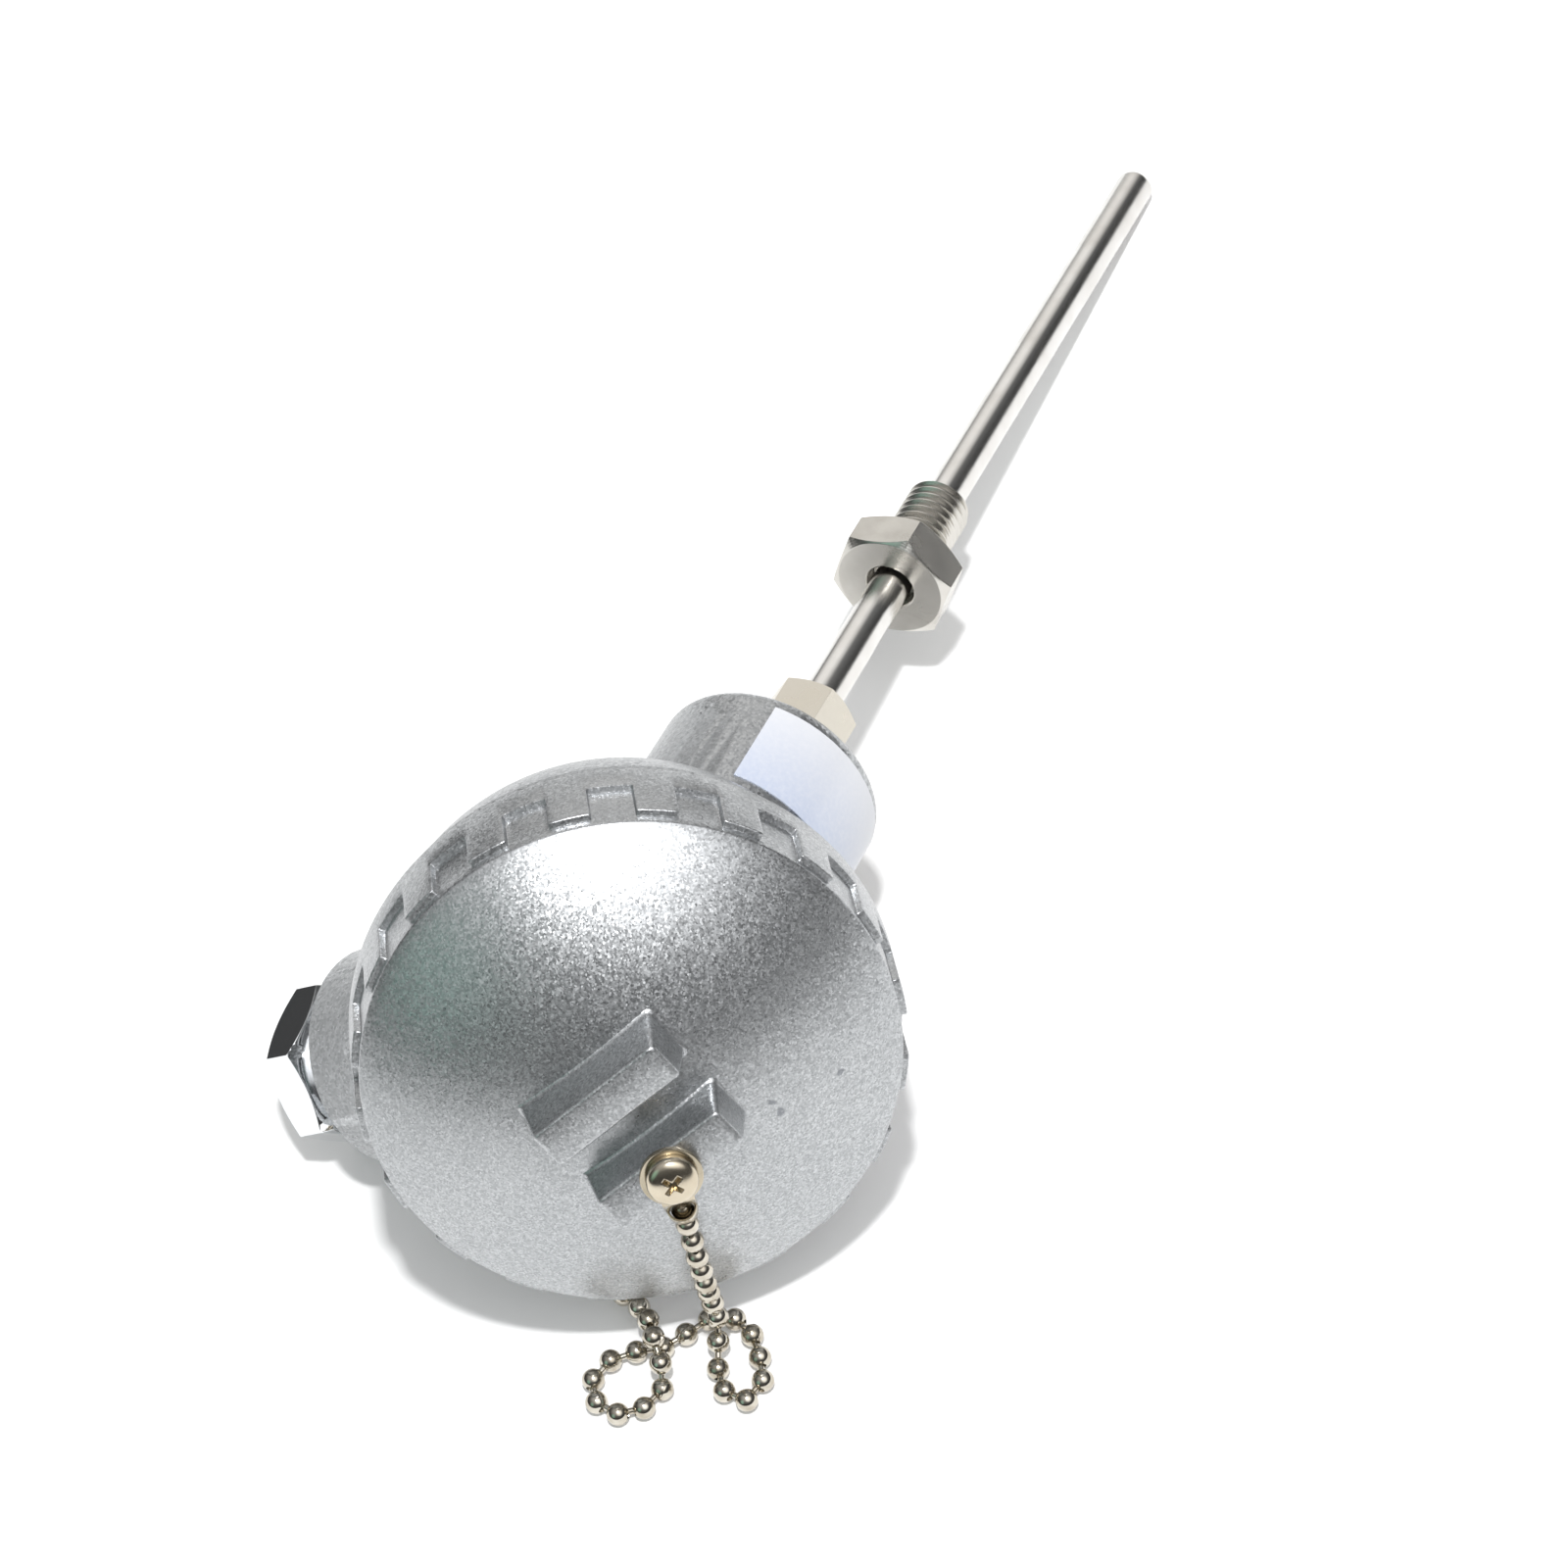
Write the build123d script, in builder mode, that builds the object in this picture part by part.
from build123d import *
import os
from math import cos, radians, sin, sqrt, tan

# Resistance thermometer with a die-cast terminal head, lying on a table.
# The pieces are built about the head centre, where the axes of the cap and the probe cross.
# The probe points down -Z, the cable entry points along +X, the cap leans back towards -X.
# At the end everything is laid down as it rests on the tip, the gland nut and the screw of the chain.

# Sheath tube
TUBE_OD = 6.0
TUBE_WALL = 0.6
TIP_ROUND = 1.4
TIP_THICKNESS = 1.0
INSERTION = 100.0            # sealing face of the fitting to the tip
FREE_TUBE = 28.8             # bare tube between the neck nut and the fitting
SLIP = 0.05                  # radial clearance of a fitted bore

# Process fitting
FITTING_AF = 17.0
FITTING_HEX = 6.5
PROCESS_THREAD_OD = 10.0     # M10 x 1.5
PROCESS_THREAD_LENGTH = 14.0
PROCESS_THREAD_CHAMFER = 0.9
FITTING_BORE_OD = 7.4        # open recess round the tube in the back face
FITTING_BORE_DEPTH = 3.0
HEX_CHAMFER_ANGLE = 30.0
HEX_FACE_SHARE = 0.97        # of the width across flats, left flat at a chamfered end
FITTING_TURN = 40.4

# Neck nut, a hex nipple
NECK_NUT_AF = 12.0
NECK_NUT_LENGTH = 14.5
NECK_THREAD_OD = 10.0
NECK_THREAD_LENGTH = 11.0
NECK_NUT_TURN = 28.0

# Head casting
CAP_TILT = 35.0              # between the probe axis and the cap axis
NECK_OD = 33.4
NECK_BOSS = 16.5             # how far the neck boss stands out of the bowl
NECK_ROUND = 2.6
NECK_HOLLOW_OD = 19.0
BOWL_INSET = 1.5             # bowl inside the edge of the flange
BOWL_CENTRE = -2.5           # along the cap axis
BOWL_BOTTOM = -24.5
BOWL_ROUND = 4.0
FLANGE_INSET = 0.4           # flange inside the front edge of the cap
FLANGE_THICKNESS = 3.2
SPIGOT_INSET = 3.4           # spigot inside the front edge of the cap
SPIGOT_TOP = 7.6
SPIGOT_WALL = 4.0
CHAMBER_FLOOR = -18.0
CHAMBER_DRAFT = 5.0
CHAMBER_ROUND = 3.0

# Cable entry
GLAND_DROP = 2.5             # its axis lies this far below the head centre
GLAND_BOSS_OD = 31.2
GLAND_REACH = 48.5
GLAND_BOSS_EDGE = 1.0
GLAND_POCKET_OD = 19.0
GLAND_POCKET_START = 12.0
GLAND_SEAT_DEPTH = 13.5      # from the end of the boss to where the grommet seats
GLAND_THROAT_OD = 11.0
GLAND_STEP = 3.0             # length of the throat between pocket and seat
GLAND_THREAD_OD = 16.0
GROMMET_LENGTH = 6.0
GROMMET_CHAMFER = 0.6
GLAND_WASHER_THICKNESS = 1.2
GLAND_CABLE_OD = 9.0
GLAND_COLLAR_OD = 19.0
GLAND_GAP = 0.9              # left between boss and collar
GLAND_COLLAR = 5.0
GLAND_AF = 21.4
GLAND_HEX = 6.4
GLAND_TURN = 18.7
GLAND_MOUTH_CHAMFER = 1.2

# Cap
CAP_FRONT = 13.2             # front edge of the rim above the head centre
CAP_FRONT_OD = 72.8
CAP_SKIRT = 14.0
CAP_WALL = 2.6
CAP_DOME_RISE = 13.0
CAP_CLEARANCE = 0.3
CAP_LAND_INSET = 0.5         # land that presses the gasket, inside the spigot's wall
CAP_LAND_BELOW_FRONT = 3.2
CAP_SCREWED_ANGLE = 7.0      # where the ribs stand when the cap is tight
TOOTH_COUNT = 20
TOOTH_HEIGHT = 1.0
TOOTH_GAP_WIDTH = 6.1
TOOTH_GAP_END = 8.8          # from the front edge back to the closed end of a gap
TOOTH_FRONT = 1.3            # from the front edge to where the teeth stop
RIB_LENGTH = 20.4
RIB_WIDTH = 6.0
RIB_SPACING = 13.1
RIB_HEIGHT = 18.6            # flat top above the front edge
RIB_ROOT = 10.7              # buried end above the front edge
RIB_DRAFT = 6.5
RIB_OFFSET = 0.9
RIB_EDGE = 0.4

# Terminal block
BLOCK_OD = 38.0
BLOCK_THICKNESS = 10.0
BLOCK_BOTTOM = -7.0
BLOCK_SCREW_INSET = 2.6      # its screws inside the block's edge
BLOCK_SCREW_ANGLE = 127.6
PILLAR_OD = 7.0
PILLAR_ROOT = 1.0            # how far a pillar reaches into the floor
BLOCK_SCREW_BITE = 8.0
EARTH_SCREW_BITE = 5.0
TERMINAL_COUNT = 3
TERMINAL_PITCH = 9.5
TERMINAL_X = 4.5
TERMINAL_SCREW_SPACING = 6.4
PLATE_LENGTH = 15.0
PLATE_WIDTH = 7.0
PLATE_THICKNESS = 1.2
BARRIER_WIDTH = 1.4
BARRIER_HEIGHT = 4.0
M4_HEAD_OD = 7.0
M4_HEAD_HEIGHT = 2.4
M4_SHANK_OD = 3.9
M3_HEAD_OD = 5.6
M3_HEAD_HEIGHT = 2.0
M3_SHANK_OD = 2.9
SLOT_WIDTH = 0.9
SLOT_DEPTH = 1.0
SLOT_SHARE = 0.62            # of the head, a slot's length
HEAD_CHAMFER_SHARE = 0.4     # of the head's height
CLAMP_WASHER_OD = 6.0
CLAMP_WASHER_THICKNESS = 0.7
TERMINAL_SCREW_BITE = 6.0
EARTH_INSET = 6.0            # earth screw inside the chamber's wall
EARTH_ANGLE = 45.0
EARTH_TOP = -10.5

# Leads and element
LEAD_OD = 0.9
LEAD_PITCH = 1.4
LEAD_HOLE_X = -9.2
LEAD_HOLE_PITCH = 3.2
LEAD_HOLE_OD = 2.2
LEAD_BEND = 1.6
LEAD_END_GAP = 0.4
LEAD_EXIT = 3.0              # straight length out of the sheath and into the block
SHEATH_TOP = -31.0           # open end of the sheath inside the neck
CORE_SHORTFALL = 0.6
ELEMENT_OD = 2.8
ELEMENT_LENGTH = 14.0
ELEMENT_LIFT = 3.0
ELEMENT_CHAMFER = 0.35

# Label
LABEL_HALF_ANGLE = 50.0
LABEL_HEIGHT = 14.5
LABEL_THICKNESS = 0.15
LABEL_CLEAR = 0.3            # between the label and the rounded end of the neck boss

# Chain and its two ends
BALL_OD = 3.2
BALL_PITCH = 3.8
BALL_BANDS = (-68.0, -23.0, 23.0, 68.0)       # a ball's outline: degrees from its equator
BALL_LIFT = 1.9              # ball centre above the dome it hangs over
LINK_OD = 0.9
LINK_BITE = 0.1              # how far a link starts inside its ball before the ball is cut from it
LUG_THICKNESS = 0.6
LUG_EYE_OD = 7.6
LUG_TONGUE_WIDTH = 4.4
LUG_TONGUE_LENGTH = 5.0
LUG_BEND_AT = 4.4
CAP_LUG_BEND = 50.0
BODY_LUG_BEND = 0.0
CAP_LUG_SWING = -26.5        # the cap's lug hangs straight down from its screw
CHAIN_SCREW_X = 0.9
CHAIN_WASHER_OD = 8.4
CHAIN_WASHER_THICKNESS = 0.8
CHAIN_SCREW_DEPTH = 6.0
BODY_PAD_ANGLE = 76.0
BODY_PAD_HEIGHT = -9.5       # along the cap axis
BODY_PAD_OD = 8.0
BODY_PAD_LIFT = 0.5          # its face outside the bowl
BODY_PAD_DEPTH = 3.0
BODY_SCREW_BITE = 2.6

# How it lies: turned about the probe axis, then laid over on screw head, gland nut and tip
REST_TURN = 119.102
REST_LEAN = -79.636
DOME_STOPS = (0.33, 0.495, 0.66, 0.77, 0.86)      # where the chain hangs over the dome, of the cap's front radius
HANG_SHARES = (0.96, 0.55)                  # where it hangs free below the rim, of the height of its last stop
FIRST_RUN = (                               # on the table from there: out, back behind itself, round the loop
    (-5.2, -1.4),
    (-8.5, -4.0),
    (-8.8, -7.0),
    (-5.5, -8.2),
    (-1.7, -6.2),
    (1.8, -3.0),
    (2.6, 1.0),
    (-0.4, 4.4),
    (-3.8, 6.5),
    (-5.9, 10.2),
    (-8.5, 13.6),
    (-12.1, 14.7),
    (-15.1, 12.8),
    (-15.9, 9.2),
    (-13.7, 5.9),
    (-10.1, 4.8),
)
SECOND_RUN = (                              # over itself and back under the cap
    (-7.5, 6.0, 4.3),
    (-4.7, 8.0, 5.5),
    (-1.7, 10.5, 4.0),
    (1.2, 15.0, 2.3),
    (3.2, 20.6, 1.7),
    (6.7, 24.6, 1.7),
    (10.7, 24.2, 1.9),
)

# Planes that carry the pieces
PROBE = Plane.XY
CAP = Plane.XY.rotated((0, -CAP_TILT, 0))
GLAND = Plane(origin=(0, 0, -GLAND_DROP), x_dir=(0, 1, 0), z_dir=(1, 0, 0))

# Places that follow from the sizes
CAP_BACK = CAP_FRONT - CAP_SKIRT
FLANGE_TOP = CAP_BACK - CAP_CLEARANCE
CAP_OD = CAP_FRONT_OD + 2 * TOOTH_HEIGHT
FLANGE_OD = CAP_FRONT_OD - 2 * FLANGE_INSET
SPIGOT_OD = CAP_FRONT_OD - 2 * SPIGOT_INSET
CHAMBER_OD = SPIGOT_OD - 2 * SPIGOT_WALL
BOWL_RADIUS = FLANGE_OD / 2 - BOWL_INSET
BODY_PAD_REACH = BOWL_RADIUS + BODY_PAD_LIFT
NECK_REACH = BOWL_RADIUS + NECK_BOSS
NUT_START = -NECK_REACH - NECK_NUT_LENGTH
FITTING_BACK = NUT_START - FREE_TUBE
SEAL_FACE = FITTING_BACK - FITTING_HEX
TIP = SEAL_FACE - INSERTION
EARTH_RADIUS = CHAMBER_OD / 2 - EARTH_INSET
CAP_LAND = CHAMBER_OD / 2 + CAP_LAND_INSET
BLOCK_SCREW_X = (BLOCK_OD / 2 - BLOCK_SCREW_INSET) * cos(radians(BLOCK_SCREW_ANGLE))
BLOCK_SCREW_Y = (BLOCK_OD / 2 - BLOCK_SCREW_INSET) * sin(radians(BLOCK_SCREW_ANGLE))
CAP_BORE = SPIGOT_OD + 2 * CAP_CLEARANCE
DOME_RADIUS = ((CAP_FRONT_OD / 2) ** 2 + CAP_DOME_RISE ** 2) / (2 * CAP_DOME_RISE)
DOME_CENTRE = CAP_FRONT + CAP_DOME_RISE - DOME_RADIUS
LAND_HEIGHT = CAP_FRONT - CAP_LAND_BELOW_FRONT
BLOCK_TOP = BLOCK_BOTTOM + BLOCK_THICKNESS
PLATE_TOP = BLOCK_TOP + PLATE_THICKNESS
WASHER_TOP = PLATE_TOP + CLAMP_WASHER_THICKNESS
LEAD_TOP = PLATE_TOP + LEAD_OD / 2
RIB_TOP = CAP_FRONT + RIB_HEIGHT
TOOTH_RING_TOP = CAP_FRONT - TOOTH_FRONT
GAP_FLOOR = CAP_FRONT - TOOTH_GAP_END
FULL_TURN = 360.0
NECK_HOLLOW_END = NECK_THREAD_LENGTH - NECK_REACH
GLAND_SEAT = GLAND_REACH - GLAND_SEAT_DEPTH
GLAND_POCKET_END = GLAND_SEAT - GLAND_STEP
GROMMET_END = GLAND_SEAT + GROMMET_LENGTH
GLAND_WASHER_END = GROMMET_END + GLAND_WASHER_THICKNESS
GLAND_COLLAR_START = GLAND_REACH + GLAND_GAP
GLAND_HEX_START = GLAND_COLLAR_START + GLAND_COLLAR
GLAND_NUT_END = GLAND_HEX_START + GLAND_HEX
BODY_PAD = Plane(
    origin=CAP.from_local_coords(
        Vector(
            BODY_PAD_REACH * cos(radians(BODY_PAD_ANGLE)),
            BODY_PAD_REACH * sin(radians(BODY_PAD_ANGLE)),
            BODY_PAD_HEIGHT,
        )
    ),
    x_dir=CAP.z_dir,
    z_dir=CAP.x_dir * cos(radians(BODY_PAD_ANGLE)) + CAP.y_dir * sin(radians(BODY_PAD_ANGLE)),
)


def swung(base, angle):
    """The same plane turned about its own normal."""
    return Plane(
        origin=base.origin,
        x_dir=base.x_dir.rotate(Axis(base.origin, base.z_dir), angle),
        z_dir=base.z_dir,
    )


def section(base):
    """The plane through the axis of base: x is the radius, y runs along the axis."""
    return Plane(origin=base.origin, x_dir=base.x_dir, z_dir=-base.y_dir)


def axis_of(base):
    return Axis(base.origin, base.z_dir)


def turned(base, outline):
    """A piece turned about the axis of base from its (radius, height) outline."""
    with BuildPart() as piece:
        with BuildSketch(section(base)):
            with BuildLine():
                Polyline(*outline, close=True)
            make_face()
        revolve(axis=axis_of(base))
    return piece.part


def ring(base, outer, inner, bottom, top):
    """A flat ring between two heights above base, given by its diameters."""
    with BuildPart() as piece:
        with BuildSketch(base.offset(bottom)):
            Circle(outer / 2)
            Circle(inner / 2, mode=Mode.SUBTRACT)
        extrude(amount=top - bottom)
    return piece.part


def on(base, x, y, z):
    """A plane parallel to base with its origin at a point given in base."""
    return Plane(origin=base.from_local_coords(Vector(x, y, z)), x_dir=base.x_dir, z_dir=base.z_dir)


def chamfered_hex(across_flats, bottom, top):
    """The turned envelope of a hexagon with both ends chamfered, as an outline."""
    corner = across_flats / sqrt(3)
    flat = across_flats / 2 * HEX_FACE_SHARE
    drop = (corner - flat) * tan(radians(HEX_CHAMFER_ANGLE))
    return [(0, bottom), (flat, bottom), (corner, bottom + drop), (corner, top - drop), (flat, top), (0, top)]


def hexagon(base, across_flats, bottom, top, turn):
    """A hexagon bar along the axis of base with both ends chamfered."""
    with BuildPart() as bar:
        with BuildSketch(base.offset(bottom)):
            RegularPolygon(across_flats / 2, 6, major_radius=False, rotation=turn)
        extrude(amount=top - bottom)
        with BuildSketch(section(base)):
            with BuildLine():
                Polyline(*chamfered_hex(across_flats, bottom, top), close=True)
            make_face()
        revolve(axis=axis_of(base), mode=Mode.INTERSECT)
    return bar.part


def chain_lug(place, shank_od, bend):
    """A sheet lug lying on place: an eye round the screw and a bent tongue along its y."""
    side = Plane(origin=place.origin, x_dir=place.y_dir, z_dir=place.x_dir)
    with BuildPart() as lug:
        with BuildSketch(place):
            Circle(LUG_EYE_OD / 2)
            Circle(shank_od / 2 + SLIP, mode=Mode.SUBTRACT)
        extrude(amount=LUG_THICKNESS)
        with BuildSketch(side.offset(-LUG_TONGUE_WIDTH / 2)):
            with BuildLine():
                Polyline(
                    (shank_od / 2 + LUG_THICKNESS, LUG_THICKNESS / 2),
                    (LUG_BEND_AT, LUG_THICKNESS / 2),
                    lug_tip(bend),
                )
            trace(line_width=LUG_THICKNESS)
        extrude(amount=LUG_TONGUE_WIDTH)
    return lug.part


def lug_tip(bend):
    """Where the middle of the tongue ends, in the side view of the lug."""
    reach = LUG_TONGUE_LENGTH * cos(radians(bend))
    drop = LUG_TONGUE_LENGTH * sin(radians(bend))
    return (LUG_BEND_AT + reach, LUG_THICKNESS / 2 - drop)


def pan_screw(place, head_od, head_height, shank_od, shank_length, slots):
    """A pan-head screw whose head stands on place, with one slot or a cross."""
    with BuildPart() as screw:
        with BuildSketch(place):
            Circle(head_od / 2)
        extrude(amount=head_height)
        rim = screw.edges().group_by(axis_of(place))[-1]
        chamfer(rim, length=head_height * HEAD_CHAMFER_SHARE)
        with BuildSketch(place):
            Circle(shank_od / 2)
        extrude(amount=-shank_length)
        with BuildSketch(place.offset(head_height)):
            for turn in range(slots):
                Rectangle(head_od * SLOT_SHARE, SLOT_WIDTH, rotation=turn * FULL_TURN / 4)
        extrude(amount=-SLOT_DEPTH, mode=Mode.SUBTRACT)
    return screw.part


# Planes that are turned from the others
CAP_TURNED = swung(CAP, CAP_SCREWED_ANGLE)
CAP_LUG_PLACE = swung(on(CAP_TURNED, RIB_OFFSET, RIB_SPACING / 2, RIB_TOP), CAP_LUG_SWING)


# Head casting: bowl, flange, spigot, neck boss and cable boss, then everything cut from them
bowl_top_radius = sqrt(BOWL_RADIUS ** 2 - (FLANGE_TOP - FLANGE_THICKNESS - BOWL_CENTRE) ** 2)
bowl_bottom_radius = sqrt(BOWL_RADIUS ** 2 - (BOWL_BOTTOM - BOWL_CENTRE) ** 2)
bowl_middle = (FLANGE_TOP - FLANGE_THICKNESS + BOWL_BOTTOM) / 2
bowl_middle_radius = sqrt(BOWL_RADIUS ** 2 - (bowl_middle - BOWL_CENTRE) ** 2)
with BuildPart() as head_body:
    with BuildSketch(section(CAP)):
        with BuildLine():
            Polyline(
                (0, BOWL_BOTTOM),
                (0, SPIGOT_TOP),
                (SPIGOT_OD / 2, SPIGOT_TOP),
                (SPIGOT_OD / 2, FLANGE_TOP),
                (FLANGE_OD / 2, FLANGE_TOP),
                (FLANGE_OD / 2, FLANGE_TOP - FLANGE_THICKNESS),
                (bowl_top_radius, FLANGE_TOP - FLANGE_THICKNESS),
            )
            ThreePointArc(
                (bowl_top_radius, FLANGE_TOP - FLANGE_THICKNESS),
                (bowl_middle_radius, bowl_middle),
                (bowl_bottom_radius, BOWL_BOTTOM),
            )
            Line((bowl_bottom_radius, BOWL_BOTTOM), (0, BOWL_BOTTOM))
        make_face()
    revolve(axis=axis_of(CAP))
    bottom_edge = head_body.edges().group_by(axis_of(CAP))[0]
    fillet(bottom_edge, radius=BOWL_ROUND)
    with BuildSketch(PROBE.offset(-NECK_REACH)):
        Circle(NECK_OD / 2)
    extrude(amount=NECK_REACH + CHAMBER_FLOOR)
    fillet(head_body.edges().group_by(Axis.Z)[0], radius=NECK_ROUND)
    with BuildSketch(GLAND.offset(GLAND_REACH)):
        Circle(GLAND_BOSS_OD / 2)
    extrude(amount=-(GLAND_REACH - GLAND_POCKET_START))
    chamfer(head_body.edges().group_by(Axis.X)[-1], length=GLAND_BOSS_EDGE)
    with BuildSketch(CAP.offset(CHAMBER_FLOOR)):
        Circle(CHAMBER_OD / 2 - (SPIGOT_TOP - CHAMBER_FLOOR) * tan(radians(CHAMBER_DRAFT)))
    extrude(amount=SPIGOT_TOP - CHAMBER_FLOOR, taper=-CHAMBER_DRAFT, mode=Mode.SUBTRACT)
    chamber_floor_edge = (
        head_body.edges()
        .filter_by(GeomType.CIRCLE)
        .filter_by(lambda edge: abs(CAP.to_local_coords(edge.arc_center).Z - CHAMBER_FLOOR) < SLIP)
    )
    fillet(chamber_floor_edge, radius=CHAMBER_ROUND)
    with BuildSketch(PROBE.offset(NECK_HOLLOW_END)):
        Circle(NECK_HOLLOW_OD / 2)
    extrude(amount=-NECK_HOLLOW_END + CHAMBER_FLOOR, mode=Mode.SUBTRACT)
    with BuildSketch(PROBE.offset(-NECK_REACH)):
        Circle(NECK_THREAD_OD / 2)
    extrude(amount=NECK_THREAD_LENGTH, mode=Mode.SUBTRACT)
    with BuildSketch(GLAND.offset(GLAND_POCKET_START)):
        Circle(GLAND_POCKET_OD / 2)
    extrude(amount=GLAND_POCKET_END - GLAND_POCKET_START, mode=Mode.SUBTRACT)
    with BuildSketch(GLAND.offset(GLAND_POCKET_END)):
        Circle(GLAND_THROAT_OD / 2)
    extrude(amount=GLAND_SEAT - GLAND_POCKET_END, mode=Mode.SUBTRACT)
    with BuildSketch(GLAND.offset(GLAND_SEAT)):
        Circle(GLAND_THREAD_OD / 2)
    extrude(amount=GLAND_REACH - GLAND_SEAT, mode=Mode.SUBTRACT)
    with BuildSketch(CAP.offset(CHAMBER_FLOOR - PILLAR_ROOT)):
        with Locations((BLOCK_SCREW_X, BLOCK_SCREW_Y), (BLOCK_SCREW_X, -BLOCK_SCREW_Y)):
            Circle(PILLAR_OD / 2)
    extrude(amount=BLOCK_BOTTOM - CHAMBER_FLOOR + PILLAR_ROOT)
    with BuildSketch(CAP.offset(CHAMBER_FLOOR - PILLAR_ROOT)):
        with PolarLocations(EARTH_RADIUS, 1, start_angle=EARTH_ANGLE):
            Circle(PILLAR_OD / 2)
    extrude(amount=EARTH_TOP - CHAMBER_FLOOR + PILLAR_ROOT)
    with BuildSketch(CAP.offset(BLOCK_BOTTOM)):
        with Locations((BLOCK_SCREW_X, BLOCK_SCREW_Y), (BLOCK_SCREW_X, -BLOCK_SCREW_Y)):
            Circle(M3_SHANK_OD / 2 + SLIP)
    extrude(amount=-BLOCK_SCREW_BITE, mode=Mode.SUBTRACT)
    with BuildSketch(CAP.offset(EARTH_TOP)):
        with PolarLocations(EARTH_RADIUS, 1, start_angle=EARTH_ANGLE):
            Circle(M4_SHANK_OD / 2 + SLIP)
    extrude(amount=-EARTH_SCREW_BITE, mode=Mode.SUBTRACT)
    with BuildSketch(BODY_PAD):
        Circle(BODY_PAD_OD / 2)
    extrude(amount=-BODY_PAD_DEPTH)
    with BuildSketch(BODY_PAD):
        Circle(M3_SHANK_OD / 2 + SLIP)
    extrude(amount=-BODY_SCREW_BITE, mode=Mode.SUBTRACT)

# Screw cap: domed shell, skirt with the land for the gasket, castellated rim and two grip ribs
inner_dome_radius = DOME_RADIUS - CAP_WALL
inner_dome_at_land = DOME_CENTRE + sqrt(inner_dome_radius ** 2 - CAP_LAND ** 2)
outer_dome_middle = DOME_CENTRE + sqrt(DOME_RADIUS ** 2 - (CAP_FRONT_OD / 4) ** 2)
inner_dome_middle = DOME_CENTRE + sqrt(inner_dome_radius ** 2 - (CAP_LAND / 2) ** 2)
with BuildPart() as screw_cap:
    with BuildSketch(section(CAP_TURNED)):
        with BuildLine():
            ThreePointArc(
                (0, DOME_CENTRE + DOME_RADIUS),
                (CAP_FRONT_OD / 4, outer_dome_middle),
                (CAP_FRONT_OD / 2, CAP_FRONT),
            )
            Polyline(
                (CAP_FRONT_OD / 2, CAP_FRONT),
                (CAP_FRONT_OD / 2, TOOTH_RING_TOP),
                (CAP_OD / 2, TOOTH_RING_TOP),
                (CAP_OD / 2, CAP_BACK),
                (CAP_BORE / 2, CAP_BACK),
                (CAP_BORE / 2, LAND_HEIGHT),
                (CAP_LAND, LAND_HEIGHT),
                (CAP_LAND, inner_dome_at_land),
            )
            ThreePointArc(
                (CAP_LAND, inner_dome_at_land),
                (CAP_LAND / 2, inner_dome_middle),
                (0, DOME_CENTRE + inner_dome_radius),
            )
            Line((0, DOME_CENTRE + inner_dome_radius), (0, DOME_CENTRE + DOME_RADIUS))
        make_face()
    revolve(axis=axis_of(CAP_TURNED))
    with BuildSketch(CAP_TURNED.offset(GAP_FLOOR)):
        with PolarLocations(CAP_OD / 2, TOOTH_COUNT, start_angle=FULL_TURN / TOOTH_COUNT / 2):
            Rectangle(TOOTH_GAP_WIDTH, TOOTH_GAP_WIDTH)
        Circle(CAP_FRONT_OD / 2, mode=Mode.SUBTRACT)
    extrude(amount=TOOTH_RING_TOP - GAP_FLOOR, mode=Mode.SUBTRACT)
    with BuildSketch(CAP_TURNED.offset(RIB_TOP)):
        with Locations((RIB_OFFSET, RIB_SPACING / 2), (RIB_OFFSET, -RIB_SPACING / 2)):
            Rectangle(RIB_LENGTH, RIB_WIDTH)
    extrude(amount=-(RIB_HEIGHT - RIB_ROOT), taper=-RIB_DRAFT)
    rib_top_edges = screw_cap.edges().group_by(axis_of(CAP_TURNED))[-1]
    chamfer(rib_top_edges, length=RIB_EDGE)
    with BuildSketch(CAP_TURNED.offset(RIB_TOP)):
        with Locations((RIB_OFFSET, RIB_SPACING / 2)):
            Circle(M4_SHANK_OD / 2 + SLIP)
    extrude(amount=-CHAIN_SCREW_DEPTH, mode=Mode.SUBTRACT)

# Gasket between the spigot and the land of the cap
with BuildPart() as cap_gasket:
    add(ring(CAP, SPIGOT_OD, CHAMBER_OD, SPIGOT_TOP, LAND_HEIGHT))

# Neck nut: chamfered hexagon on a threaded spigot, bored for the sheath
with BuildPart() as neck_nut:
    add(hexagon(PROBE, NECK_NUT_AF, NUT_START, -NECK_REACH, NECK_NUT_TURN))
    with BuildSketch(PROBE.offset(-NECK_REACH)):
        Circle(NECK_THREAD_OD / 2 - SLIP)
    extrude(amount=NECK_THREAD_LENGTH - SLIP)
    with BuildSketch(PROBE.offset(NUT_START)):
        Circle(TUBE_OD / 2 + SLIP)
    extrude(amount=NECK_NUT_LENGTH + NECK_THREAD_LENGTH, mode=Mode.SUBTRACT)

# Sheath: closed tube with a rounded tip
tube_radius = TUBE_OD / 2
sheath_bore = tube_radius - TUBE_WALL
with BuildPart() as sheath_tube:
    with BuildSketch(section(PROBE)):
        with BuildLine():
            Polyline(
                (0, TIP + TIP_THICKNESS),
                (0, TIP),
                (tube_radius - TIP_ROUND, TIP),
            )
            RadiusArc((tube_radius - TIP_ROUND, TIP), (tube_radius, TIP + TIP_ROUND), -TIP_ROUND)
            Polyline(
                (tube_radius, TIP + TIP_ROUND),
                (tube_radius, SHEATH_TOP),
                (sheath_bore, SHEATH_TOP),
                (sheath_bore, TIP + TIP_THICKNESS),
                (0, TIP + TIP_THICKNESS),
            )
        make_face()
    revolve(axis=axis_of(PROBE))

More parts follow.
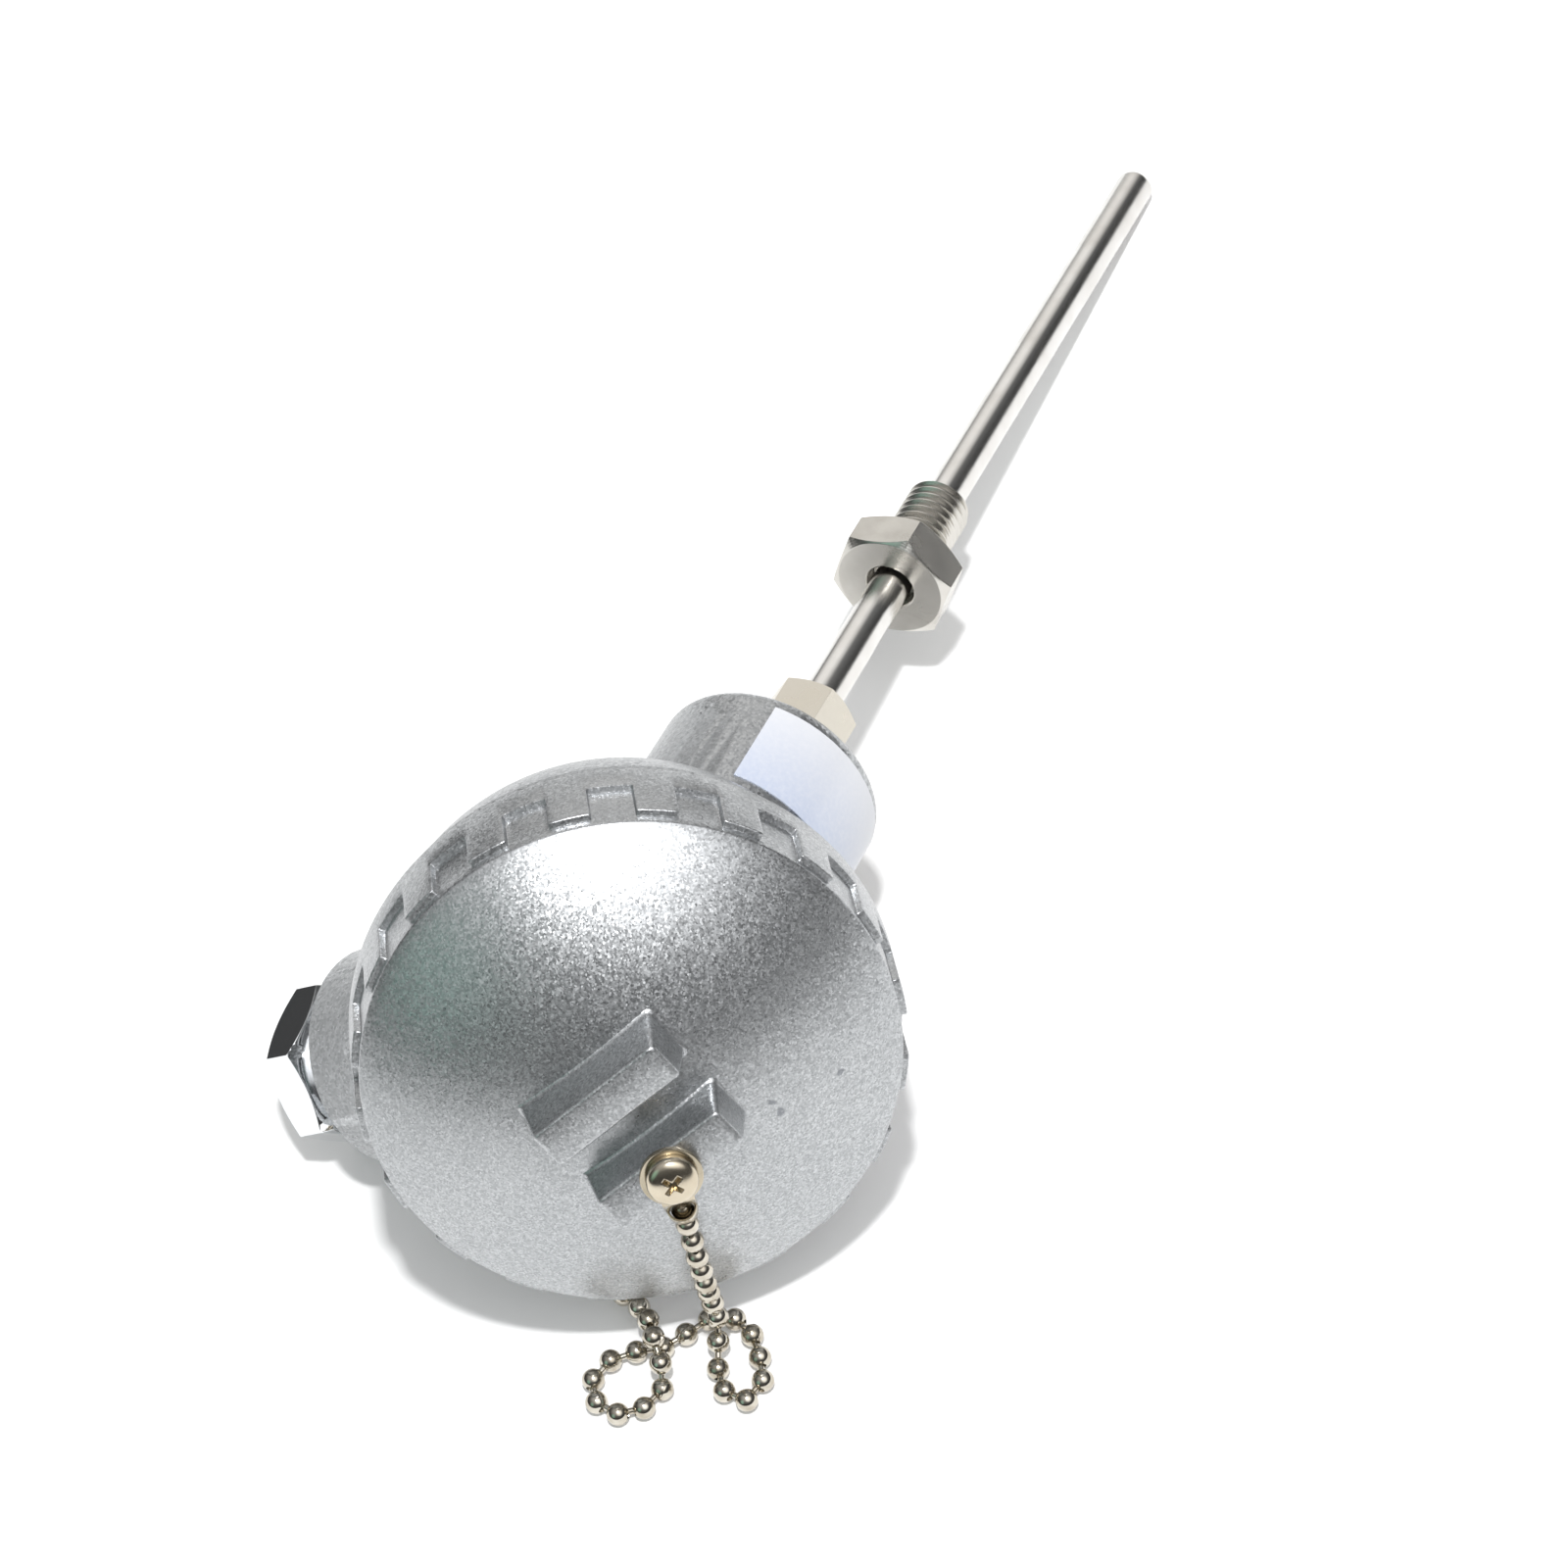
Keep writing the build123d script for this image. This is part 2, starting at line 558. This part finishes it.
# Sensing element near the tip, and the mineral core that holds it and the leads
lead_sides = [side - (TERMINAL_COUNT - 1) / 2 for side in range(TERMINAL_COUNT)]
element_bottom = TIP + TIP_THICKNESS + ELEMENT_LIFT
element_top = element_bottom + ELEMENT_LENGTH
with BuildPart() as sensing_element:
    with BuildSketch(PROBE.offset(element_bottom)):
        Circle(ELEMENT_OD / 2)
    extrude(amount=ELEMENT_LENGTH)
    chamfer(sensing_element.edges().group_by(Axis.Z)[0], length=ELEMENT_CHAMFER)

with BuildPart() as insulation_core:
    with BuildSketch(PROBE.offset(TIP + TIP_THICKNESS)):
        Circle(sheath_bore - SLIP)
    extrude(amount=SHEATH_TOP - CORE_SHORTFALL - TIP - TIP_THICKNESS)
    with BuildSketch(PROBE.offset(element_bottom)):
        Circle(ELEMENT_OD / 2)
    extrude(amount=ELEMENT_LENGTH, mode=Mode.SUBTRACT)
    with BuildSketch(PROBE.offset(element_top)):
        for side in lead_sides:
            with Locations((0, side * LEAD_PITCH)):
                Circle(LEAD_OD / 2 + SLIP)
    extrude(amount=SHEATH_TOP - element_top, mode=Mode.SUBTRACT)

# Leads: up the sheath, through the block and over to the terminals
lead_end_x = TERMINAL_X - TERMINAL_SCREW_SPACING / 2 - CLAMP_WASHER_OD / 2 - LEAD_END_GAP
with BuildPart() as lead_wires:
    for side in lead_sides:
        with BuildLine() as lead_path:
            FilletPolyline(
                (0, side * LEAD_PITCH, element_top),
                (0, side * LEAD_PITCH, SHEATH_TOP + LEAD_EXIT),
                CAP.from_local_coords(Vector(LEAD_HOLE_X, side * LEAD_HOLE_PITCH, BLOCK_BOTTOM - LEAD_EXIT)),
                CAP.from_local_coords(Vector(LEAD_HOLE_X, side * LEAD_HOLE_PITCH, LEAD_TOP)),
                CAP.from_local_coords(Vector(lead_end_x, side * TERMINAL_PITCH, LEAD_TOP)),
                radius=LEAD_BEND,
            )
        with BuildSketch(PROBE.offset(element_top)):
            with Locations((0, side * LEAD_PITCH)):
                Circle(LEAD_OD / 2)
        sweep(path=lead_path.line)

# Process fitting: chamfered hexagon, open recess round the tube, threaded shank
thread_end = SEAL_FACE - PROCESS_THREAD_LENGTH
with BuildPart() as process_fitting:
    add(hexagon(PROBE, FITTING_AF, SEAL_FACE, FITTING_BACK, FITTING_TURN))
    add(
        turned(
            PROBE,
            [
                (0, SEAL_FACE),
                (PROCESS_THREAD_OD / 2, SEAL_FACE),
                (PROCESS_THREAD_OD / 2, thread_end + PROCESS_THREAD_CHAMFER),
                (PROCESS_THREAD_OD / 2 - PROCESS_THREAD_CHAMFER, thread_end),
                (0, thread_end),
            ],
        )
    )
    with BuildSketch(PROBE.offset(thread_end)):
        Circle(TUBE_OD / 2 + SLIP)
    extrude(amount=FITTING_BACK - thread_end, mode=Mode.SUBTRACT)
    with BuildSketch(PROBE.offset(FITTING_BACK)):
        Circle(FITTING_BORE_OD / 2)
    extrude(amount=-FITTING_BORE_DEPTH, mode=Mode.SUBTRACT)

# Cable entry: rubber grommet, washer and hexagon nut
with BuildPart() as gland_grommet:
    add(ring(GLAND, GLAND_THREAD_OD - 2 * SLIP, GLAND_CABLE_OD, GLAND_SEAT, GROMMET_END))
    chamfer(gland_grommet.edges().group_by(Axis.X)[0], length=GROMMET_CHAMFER)

with BuildPart() as gland_washer:
    add(ring(GLAND, GLAND_THREAD_OD - 2 * CAP_CLEARANCE, GLAND_CABLE_OD, GROMMET_END, GLAND_WASHER_END))

with BuildPart() as gland_nut:
    add(hexagon(GLAND, GLAND_AF, GLAND_HEX_START, GLAND_NUT_END, GLAND_TURN))
    add(ring(GLAND, GLAND_COLLAR_OD, GLAND_CABLE_OD, GLAND_COLLAR_START, GLAND_HEX_START))
    add(
        ring(
            GLAND,
            GLAND_THREAD_OD - 2 * CAP_CLEARANCE,
            GLAND_CABLE_OD,
            GLAND_WASHER_END,
            GLAND_COLLAR_START,
        )
    )
    with BuildSketch(GLAND.offset(GLAND_HEX_START)):
        Circle(GLAND_CABLE_OD / 2)
    extrude(amount=GLAND_HEX, mode=Mode.SUBTRACT)
    mouth = gland_nut.edges().filter_by(GeomType.CIRCLE).group_by(Axis.X)[-1].sort_by(SortBy.RADIUS)[0]
    chamfer(mouth, length=GLAND_MOUTH_CHAMFER)

# Terminal block with its barriers, plates, screws and washers
with BuildPart() as terminal_block:
    with BuildSketch(CAP.offset(BLOCK_BOTTOM)):
        Circle(BLOCK_OD / 2)
    extrude(amount=BLOCK_THICKNESS)
    chamfer(terminal_block.edges().group_by(axis_of(CAP))[-1], length=RIB_EDGE)
    with BuildSketch(CAP.offset(BLOCK_TOP)):
        for side in range(TERMINAL_COUNT - 1):
            with Locations((TERMINAL_X, (side - (TERMINAL_COUNT - 2) / 2) * TERMINAL_PITCH)):
                Rectangle(PLATE_LENGTH, BARRIER_WIDTH)
    extrude(amount=BARRIER_HEIGHT)
    with BuildSketch(CAP.offset(BLOCK_TOP)):
        with Locations((BLOCK_SCREW_X, BLOCK_SCREW_Y), (BLOCK_SCREW_X, -BLOCK_SCREW_Y)):
            Circle(M3_SHANK_OD / 2 + SLIP)
        for side in lead_sides:
            with Locations((LEAD_HOLE_X, side * LEAD_HOLE_PITCH)):
                Circle(LEAD_HOLE_OD / 2)
    extrude(amount=-BLOCK_THICKNESS, mode=Mode.SUBTRACT)
    with BuildSketch(CAP.offset(BLOCK_TOP)):
        with Locations((TERMINAL_X, 0)):
            with GridLocations(TERMINAL_SCREW_SPACING, TERMINAL_PITCH, 2, TERMINAL_COUNT):
                Circle(M3_SHANK_OD / 2 + SLIP)
    extrude(amount=-TERMINAL_SCREW_BITE, mode=Mode.SUBTRACT)

with BuildPart() as terminal_plates:
    with BuildSketch(CAP.offset(BLOCK_TOP)):
        with Locations((TERMINAL_X, 0)):
            with GridLocations(PLATE_LENGTH, TERMINAL_PITCH, 1, TERMINAL_COUNT):
                Rectangle(PLATE_LENGTH, PLATE_WIDTH)
            with GridLocations(TERMINAL_SCREW_SPACING, TERMINAL_PITCH, 2, TERMINAL_COUNT):
                Circle(M3_SHANK_OD / 2 + SLIP, mode=Mode.SUBTRACT)
    extrude(amount=PLATE_THICKNESS)

terminal_places = [
    (TERMINAL_X + end * TERMINAL_SCREW_SPACING / 2, side * TERMINAL_PITCH)
    for side in lead_sides
    for end in (-1, 1)
]
with BuildPart() as clamp_washers:
    for x, y in terminal_places:
        add(ring(on(CAP, x, y, 0), CLAMP_WASHER_OD, M3_SHANK_OD + 2 * SLIP, PLATE_TOP, WASHER_TOP))

with BuildPart() as terminal_screws:
    for x, y in terminal_places:
        bite = TERMINAL_SCREW_BITE + PLATE_THICKNESS + CLAMP_WASHER_THICKNESS - 2 * SLIP
        add(pan_screw(on(CAP, x, y, WASHER_TOP), M3_HEAD_OD, M3_HEAD_HEIGHT, M3_SHANK_OD, bite, 1))

with BuildPart() as block_screws:
    for side in (-1, 1):
        seat = on(CAP, BLOCK_SCREW_X, side * BLOCK_SCREW_Y, BLOCK_TOP)
        bite = BLOCK_THICKNESS + BLOCK_SCREW_BITE - 2 * SLIP
        add(pan_screw(seat, M3_HEAD_OD, M3_HEAD_HEIGHT, M3_SHANK_OD, bite, 1))

earth_x = EARTH_RADIUS * cos(radians(EARTH_ANGLE))
earth_y = EARTH_RADIUS * sin(radians(EARTH_ANGLE))
with BuildPart() as earth_screw:
    seat = on(CAP, earth_x, earth_y, EARTH_TOP)
    add(pan_screw(seat, M4_HEAD_OD, M4_HEAD_HEIGHT, M4_SHANK_OD, EARTH_SCREW_BITE - 2 * SLIP, 1))

# Label wrapped round the neck boss
with BuildPart() as label_plate:
    with BuildSketch(section(PROBE.rotated((0, 0, FULL_TURN / 2 - LABEL_HALF_ANGLE)))):
        with Locations((NECK_OD / 2, -NECK_REACH + NECK_ROUND + LABEL_CLEAR)):
            Rectangle(LABEL_THICKNESS, LABEL_HEIGHT, align=(Align.MIN, Align.MIN))
    revolve(axis=Axis.Z, revolution_arc=2 * LABEL_HALF_ANGLE)

# Chain ends: lug, washer and screw on the rib, lug and screw on the casting
with BuildPart() as cap_chain_lug:
    add(chain_lug(CAP_LUG_PLACE, M4_SHANK_OD, CAP_LUG_BEND))
with BuildPart() as cap_chain_washer:
    add(
        ring(
            CAP_LUG_PLACE,
            CHAIN_WASHER_OD,
            M4_SHANK_OD + 2 * SLIP,
            LUG_THICKNESS,
            LUG_THICKNESS + CHAIN_WASHER_THICKNESS,
        )
    )
with BuildPart() as cap_chain_screw:
    seat = CAP_LUG_PLACE.offset(LUG_THICKNESS + CHAIN_WASHER_THICKNESS)
    bite = CHAIN_SCREW_DEPTH + LUG_THICKNESS + CHAIN_WASHER_THICKNESS - 2 * SLIP
    add(pan_screw(seat, M4_HEAD_OD, M4_HEAD_HEIGHT, M4_SHANK_OD, bite, 2))
with BuildPart() as body_chain_lug:
    add(chain_lug(BODY_PAD, M3_SHANK_OD, BODY_LUG_BEND))
with BuildPart() as body_chain_screw:
    seat = BODY_PAD.offset(LUG_THICKNESS)
    bite = BODY_SCREW_BITE + LUG_THICKNESS - 2 * SLIP
    add(pan_screw(seat, M3_HEAD_OD, M3_HEAD_HEIGHT, M3_SHANK_OD, bite, 2))

PIECES = {
    "head_body": head_body,
    "screw_cap": screw_cap,
    "cap_gasket": cap_gasket,
    "neck_nut": neck_nut,
    "sheath_tube": sheath_tube,
    "sensing_element": sensing_element,
    "insulation_core": insulation_core,
    "lead_wires": lead_wires,
    "process_fitting": process_fitting,
    "gland_grommet": gland_grommet,
    "gland_washer": gland_washer,
    "gland_nut": gland_nut,
    "terminal_block": terminal_block,
    "terminal_plates": terminal_plates,
    "clamp_washers": clamp_washers,
    "terminal_screws": terminal_screws,
    "block_screws": block_screws,
    "earth_screw": earth_screw,
    "label_plate": label_plate,
    "cap_chain_lug": cap_chain_lug,
    "cap_chain_washer": cap_chain_washer,
    "cap_chain_screw": cap_chain_screw,
    "body_chain_lug": body_chain_lug,
    "body_chain_screw": body_chain_screw,
}


# Lay everything down as it rests, with the table at height 0 below the head centre
LAID = Location((0, 0, 0), (0, REST_LEAN, 0)) * Location((0, 0, 0), (0, 0, REST_TURN))
laid = {name: piece.part.moved(LAID) for name, piece in PIECES.items()}
LIFT = -min(piece.bounding_box().min.Z for piece in laid.values())
ON_TABLE = Location((0, 0, LIFT)) * LAID


def table_point(point):
    """Where a point of the upright pieces is once they lie on the table."""
    return (ON_TABLE * Location(point)).position


def over_dome(distance):
    """A ball's centre on the dome, this far from the cap's screw down the line of its lug."""
    flat = CAP.to_local_coords(CAP_LUG_PLACE.from_local_coords(Vector(0, distance, 0)))
    height = DOME_CENTRE + sqrt((DOME_RADIUS + BALL_LIFT) ** 2 - flat.X ** 2 - flat.Y ** 2)
    return table_point(CAP.from_local_coords(Vector(flat.X, flat.Y, height)))


def lug_end(place, bend, gap):
    """The middle of the end face of a lug on place, and the point that far beyond it."""
    y, z = lug_tip(bend)
    beyond = Vector(0, y + gap * cos(radians(bend)), z - gap * sin(radians(bend)))
    return table_point(place.from_local_coords(Vector(0, y, z))), table_point(place.from_local_coords(beyond))


# Bead chain: from the cap's lug over the dome, down to the table, round a loop and back to the casting
first_gap = BALL_PITCH - BALL_OD / 2
cap_end, first_ball = lug_end(CAP_LUG_PLACE, CAP_LUG_BEND, first_gap)
body_end, last_ball = lug_end(BODY_PAD, BODY_LUG_BEND, first_gap)
hung = over_dome(DOME_STOPS[-1] * CAP_FRONT_OD / 2)
route = [first_ball]
route += [over_dome(share * CAP_FRONT_OD / 2) for share in DOME_STOPS]
route += [Vector(hung.X, hung.Y, share * hung.Z) for share in HANG_SHARES]
route += [Vector(hung.X + x, hung.Y + y, BALL_OD / 2) for x, y in FIRST_RUN]
route += [Vector(hung.X + x, hung.Y + y, z) for x, y, z in SECOND_RUN]
route += [last_ball]
with BuildLine():
    chain_route = Spline(*route)
gap_count = round(chain_route.length / BALL_PITCH)
stops = [chain_route.position_at(number / gap_count) for number in range(gap_count + 1)]
centres = [Vector(stop.X, stop.Y, max(stop.Z, BALL_OD / 2)) for stop in stops]

ball_outline = [(BALL_OD / 2 * cos(radians(band)), BALL_OD / 2 * sin(radians(band))) for band in BALL_BANDS]
ball = turned(PROBE, [(0, ball_outline[0][1]), *ball_outline, (0, ball_outline[-1][1])])
ball_places = [
    Plane(origin=centre, z_dir=chain_route.tangent_at(number / gap_count)).location
    for number, centre in enumerate(centres)
]
with BuildPart() as chain_balls:
    with Locations(*ball_places):
        add(ball)

link_inset = BALL_OD / 2 - LINK_BITE
link_spans = [
    (start + (end - start).normalized() * link_inset, end - (end - start).normalized() * link_inset)
    for start, end in zip(centres, centres[1:])
]
link_spans += [
    (cap_end, centres[0] - (centres[0] - cap_end).normalized() * link_inset),
    (body_end, centres[-1] - (centres[-1] - body_end).normalized() * link_inset),
]
with BuildPart() as chain_links:
    for start, end in link_spans:
        with BuildSketch(Plane(origin=start, z_dir=end - start)):
            Circle(LINK_OD / 2)
        extrude(amount=(end - start).length)
    with Locations(*ball_places):
        add(ball, mode=Mode.SUBTRACT)

# Centre the whole over the origin and write the files
shapes = {name: piece.part.moved(ON_TABLE) for name, piece in PIECES.items()}
shapes["chain_balls"] = chain_balls.part
shapes["chain_links"] = chain_links.part
boxes = [shape.bounding_box() for shape in shapes.values()]
middle_x = (min(box.min.X for box in boxes) + max(box.max.X for box in boxes)) / 2
middle_y = (min(box.min.Y for box in boxes) + max(box.max.Y for box in boxes)) / 2
os.makedirs("parts", exist_ok=True)
for name, shape in shapes.items():
    shape = shape.moved(Location((-middle_x, -middle_y, 0)))
    shape.label = name
    export_step(shape, f"parts/{name}.step")
